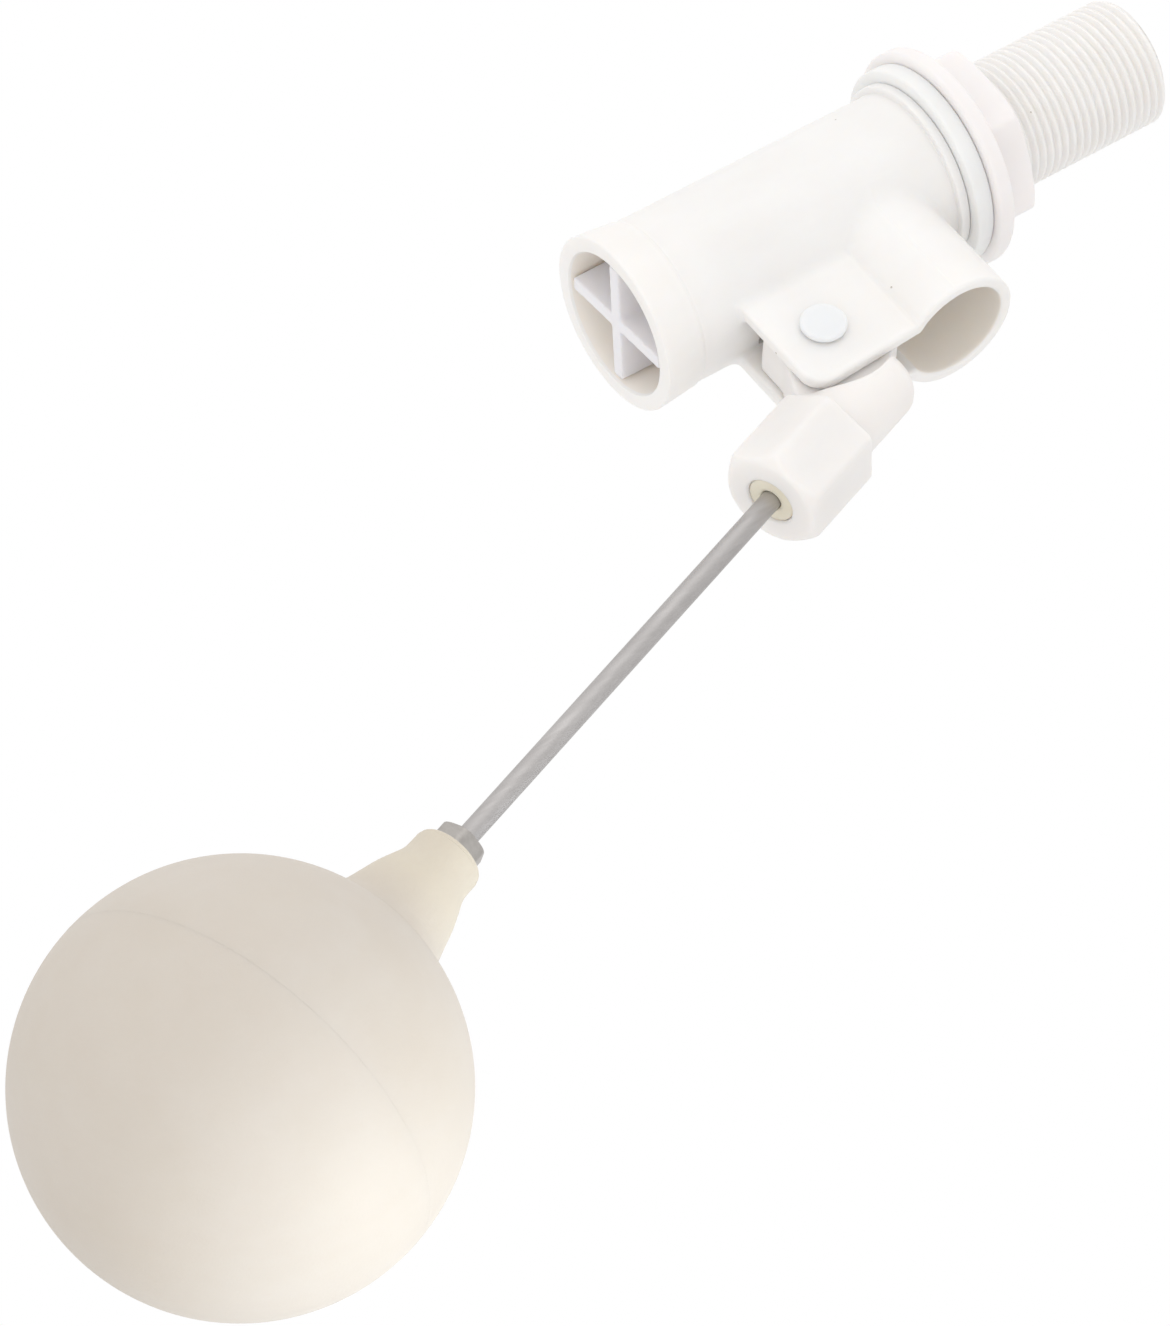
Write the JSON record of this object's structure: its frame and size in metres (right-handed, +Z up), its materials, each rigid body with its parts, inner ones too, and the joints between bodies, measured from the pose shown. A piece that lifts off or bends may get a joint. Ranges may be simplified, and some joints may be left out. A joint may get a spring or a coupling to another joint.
{
  "type": "float valve",
  "caption": "Side-entry float valve: threaded inlet, barrel with sliding piston, hooded outlet, lever, clamped rod and hollow ball float, with sealing washer and backnut.",
  "frame": {"origin": "on the barrel's axis, at the body flange's face that seats against the tank side", "axes": "+X out along the inlet thread, +Z up, the outlet faces -Z and the float hangs towards -X"},
  "size_m": [0.3145, 0.08, 0.1673],
  "materials": {
    "body_plastic": "satin moulded white plastic",
    "piston_plastic": "satin bluish white plastic",
    "pin_plastic": "bright cool white plastic",
    "collet_plastic": "natural yellowish plastic",
    "seal_rubber": "black rubber",
    "washer_plastic": "soft white sealing plastic",
    "backnut_plastic": "satin moulded white plastic",
    "float_plastic": "matt cream blow-moulded plastic",
    "rod_steel": "drawn bright rod",
    "nut_steel": "machined nut",
    "insert_brass": "machined brass"
  },
  "bodies": {
    "valve": {"valve_body": "body_plastic", "seat_nozzle": "body_plastic", "nozzle_oring": "seal_rubber", "pivot_pin": "pin_plastic"},
    "plunger": {"piston": "piston_plastic", "piston_cap": "piston_plastic", "piston_washer": "seal_rubber"},
    "lever_arm": {"lever": "body_plastic"},
    "collet": {"rod_collet": "collet_plastic"},
    "gland": {"gland_nut": "body_plastic"},
    "float": {"float_rod": "rod_steel", "float_lock_nut": "nut_steel", "float_insert": "insert_brass", "float_upper_shell": "float_plastic", "float_lower_shell": "float_plastic"},
    "washer": {"tank_washer": "washer_plastic"},
    "nut": {"backnut": "backnut_plastic"}
  },
  "joints": [
    {"name": "arm_hinge", "type": "hinge", "parent": "valve", "child": "lever_arm", "pos_m": [-0.0423, 0, -0.0275], "axis": [0, 1, 0], "range_deg": [0, 24]},
    {"name": "piston_slide", "type": "slide", "parent": "valve", "child": "plunger", "axis": [1, 0, 0], "range_m": [0, 0.0099]},
    {"name": "rod_slide", "type": "slide", "parent": "lever_arm", "child": "float", "axis": [-0.9421, 0, -0.3355], "range_m": [-0.008, 0.008]},
    {"name": "collet_slide", "type": "slide", "parent": "lever_arm", "child": "collet", "axis": [-0.9421, 0, -0.3355], "range_m": [0, 0.0045]},
    {"name": "gland_nut_spin", "type": "hinge", "parent": "collet", "child": "gland", "pos_m": [-0.05248, 0, -0.04423], "axis": [-0.9421, 0, -0.3355], "range_deg": [0, 1082]},
    {"name": "washer_slide", "type": "slide", "parent": "valve", "child": "washer", "axis": [1, 0, 0], "range_m": [0, 0.029]},
    {"name": "backnut_spin", "type": "hinge", "parent": "washer", "child": "nut", "pos_m": [0.01, 0, 0], "axis": [1, 0, 0], "range_deg": [0, 5760]}
  ],
  "couplings": [
    {"joint": "piston_slide", "follows": "arm_hinge", "m_per_rad": 0.02333},
    {"joint": "gland_nut_spin", "follows": "collet_slide", "rad_per_m": 4188.8},
    {"joint": "backnut_spin", "follows": "washer_slide", "rad_per_m": 3463.2}
  ]
}
